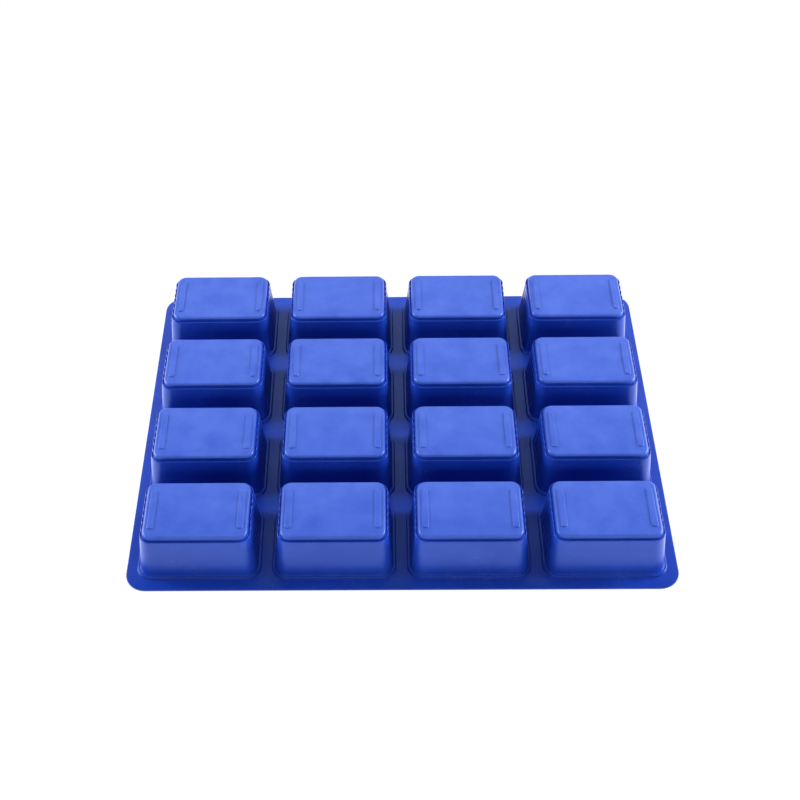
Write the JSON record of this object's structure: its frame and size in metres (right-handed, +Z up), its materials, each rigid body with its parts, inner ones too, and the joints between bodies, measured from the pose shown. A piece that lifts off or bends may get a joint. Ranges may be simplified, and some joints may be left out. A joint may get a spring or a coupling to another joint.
{
  "type": "silicone soap mould",
  "caption": "Flexible silicone mould tray, cups up on a flat flange: a grid of rectangular tapered cups with stepped feet, ribbed ends and two raised bars on each floor.",
  "frame": {"origin": "centre of the flat underside of the flange, on the table", "axes": "+X along the long side of every cup and of the tray, +Y towards the back row, +Z up from the flange to the cup floors; the cavities open downwards"},
  "size_m": [0.367, 0.288, 0.038],
  "materials": {
    "silicone": "satin, slightly translucent platinum silicone with a fine moulded grain"
  },
  "bodies": {
    "column_1": {"flange_column_1": "silicone", "cup_wall_r1_c1": "silicone", "cup_wall_r2_c1": "silicone", "cup_wall_r3_c1": "silicone", "cup_wall_r4_c1": "silicone"},
    "column_2": {"flange_column_2": "silicone", "cup_wall_r1_c2": "silicone", "cup_wall_r2_c2": "silicone", "cup_wall_r3_c2": "silicone", "cup_wall_r4_c2": "silicone"},
    "column_3": {"flange_column_3": "silicone", "cup_wall_r1_c3": "silicone", "cup_wall_r2_c3": "silicone", "cup_wall_r3_c3": "silicone", "cup_wall_r4_c3": "silicone"},
    "column_4": {"flange_column_4": "silicone", "cup_wall_r1_c4": "silicone", "cup_wall_r2_c4": "silicone", "cup_wall_r3_c4": "silicone", "cup_wall_r4_c4": "silicone"},
    "floor_r1_c1": {"cup_floor_r1_c1": "silicone"},
    "floor_r2_c1": {"cup_floor_r2_c1": "silicone"},
    "floor_r3_c1": {"cup_floor_r3_c1": "silicone"},
    "floor_r4_c1": {"cup_floor_r4_c1": "silicone"},
    "floor_r1_c2": {"cup_floor_r1_c2": "silicone"},
    "floor_r2_c2": {"cup_floor_r2_c2": "silicone"},
    "floor_r3_c2": {"cup_floor_r3_c2": "silicone"},
    "floor_r4_c2": {"cup_floor_r4_c2": "silicone"},
    "floor_r1_c3": {"cup_floor_r1_c3": "silicone"},
    "floor_r2_c3": {"cup_floor_r2_c3": "silicone"},
    "floor_r3_c3": {"cup_floor_r3_c3": "silicone"},
    "floor_r4_c3": {"cup_floor_r4_c3": "silicone"},
    "floor_r1_c4": {"cup_floor_r1_c4": "silicone"},
    "floor_r2_c4": {"cup_floor_r2_c4": "silicone"},
    "floor_r3_c4": {"cup_floor_r3_c4": "silicone"},
    "floor_r4_c4": {"cup_floor_r4_c4": "silicone"}
  },
  "joints": [
    {"name": "web_flex_c1_c2", "type": "hinge", "parent": "column_2", "child": "column_1", "pos_m": [-0.09, 0, 0.0006], "axis": [0, 1, 0], "range_deg": [-45, 25], "stiffness_Nm_per_rad": 0.1},
    {"name": "web_flex_c2_c3", "type": "hinge", "parent": "column_2", "child": "column_3", "pos_m": [0, 0, 0.0006], "axis": [0, -1, 0], "range_deg": [-45, 25], "stiffness_Nm_per_rad": 0.1},
    {"name": "web_flex_c3_c4", "type": "hinge", "parent": "column_3", "child": "column_4", "pos_m": [0.09, 0, 0.0006], "axis": [0, -1, 0], "range_deg": [-45, 25], "stiffness_Nm_per_rad": 0.1},
    {"name": "floor_push_r1_c1", "type": "slide", "parent": "column_1", "child": "floor_r1_c1", "axis": [0, 0, -1], "range_m": [0, 0.01], "stiffness_N_per_m": 400},
    {"name": "floor_push_r2_c1", "type": "slide", "parent": "column_1", "child": "floor_r2_c1", "axis": [0, 0, -1], "range_m": [0, 0.01], "stiffness_N_per_m": 400},
    {"name": "floor_push_r3_c1", "type": "slide", "parent": "column_1", "child": "floor_r3_c1", "axis": [0, 0, -1], "range_m": [0, 0.01], "stiffness_N_per_m": 400},
    {"name": "floor_push_r4_c1", "type": "slide", "parent": "column_1", "child": "floor_r4_c1", "axis": [0, 0, -1], "range_m": [0, 0.01], "stiffness_N_per_m": 400},
    {"name": "floor_push_r1_c2", "type": "slide", "parent": "column_2", "child": "floor_r1_c2", "axis": [0, 0, -1], "range_m": [0, 0.01], "stiffness_N_per_m": 400},
    {"name": "floor_push_r2_c2", "type": "slide", "parent": "column_2", "child": "floor_r2_c2", "axis": [0, 0, -1], "range_m": [0, 0.01], "stiffness_N_per_m": 400},
    {"name": "floor_push_r3_c2", "type": "slide", "parent": "column_2", "child": "floor_r3_c2", "axis": [0, 0, -1], "range_m": [0, 0.01], "stiffness_N_per_m": 400},
    {"name": "floor_push_r4_c2", "type": "slide", "parent": "column_2", "child": "floor_r4_c2", "axis": [0, 0, -1], "range_m": [0, 0.01], "stiffness_N_per_m": 400},
    {"name": "floor_push_r1_c3", "type": "slide", "parent": "column_3", "child": "floor_r1_c3", "axis": [0, 0, -1], "range_m": [0, 0.01], "stiffness_N_per_m": 400},
    {"name": "floor_push_r2_c3", "type": "slide", "parent": "column_3", "child": "floor_r2_c3", "axis": [0, 0, -1], "range_m": [0, 0.01], "stiffness_N_per_m": 400},
    {"name": "floor_push_r3_c3", "type": "slide", "parent": "column_3", "child": "floor_r3_c3", "axis": [0, 0, -1], "range_m": [0, 0.01], "stiffness_N_per_m": 400},
    {"name": "floor_push_r4_c3", "type": "slide", "parent": "column_3", "child": "floor_r4_c3", "axis": [0, 0, -1], "range_m": [0, 0.01], "stiffness_N_per_m": 400},
    {"name": "floor_push_r1_c4", "type": "slide", "parent": "column_4", "child": "floor_r1_c4", "axis": [0, 0, -1], "range_m": [0, 0.01], "stiffness_N_per_m": 400},
    {"name": "floor_push_r2_c4", "type": "slide", "parent": "column_4", "child": "floor_r2_c4", "axis": [0, 0, -1], "range_m": [0, 0.01], "stiffness_N_per_m": 400},
    {"name": "floor_push_r3_c4", "type": "slide", "parent": "column_4", "child": "floor_r3_c4", "axis": [0, 0, -1], "range_m": [0, 0.01], "stiffness_N_per_m": 400},
    {"name": "floor_push_r4_c4", "type": "slide", "parent": "column_4", "child": "floor_r4_c4", "axis": [0, 0, -1], "range_m": [0, 0.01], "stiffness_N_per_m": 400}
  ]
}
